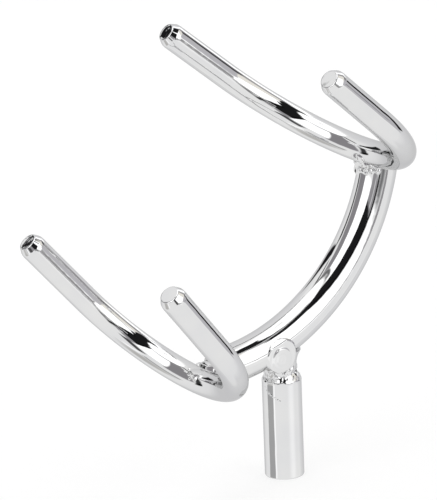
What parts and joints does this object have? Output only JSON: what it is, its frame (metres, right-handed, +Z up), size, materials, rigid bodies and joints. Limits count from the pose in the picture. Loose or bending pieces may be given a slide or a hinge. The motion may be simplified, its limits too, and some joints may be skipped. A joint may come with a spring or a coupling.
{
  "type": "guitar rack cradle",
  "caption": "Welded chrome-plated bar cradle on a post: a curved crossbar carries a U-bent fork at each end, open up and forward to hold a guitar's body.",
  "frame": {"origin": "centre of the flat foot of the post", "axes": "+Z up along the post, -X towards the side that the forks open to, Y across the forks' prongs"},
  "size_m": [0.1777, 0.139, 0.2131],
  "materials": {
    "bar_chrome": "bright mirror chrome plate on smooth round steel bar",
    "weld_chrome": "bright chrome plate over uneven weld beads"
  },
  "bodies": {
    "root": {"post": "bar_chrome", "crossbar": "bar_chrome", "upper_fork": "bar_chrome", "lower_fork": "bar_chrome", "post_weld": "weld_chrome", "upper_fork_weld": "weld_chrome", "lower_fork_weld": "weld_chrome"}
  },
  "joints": []
}
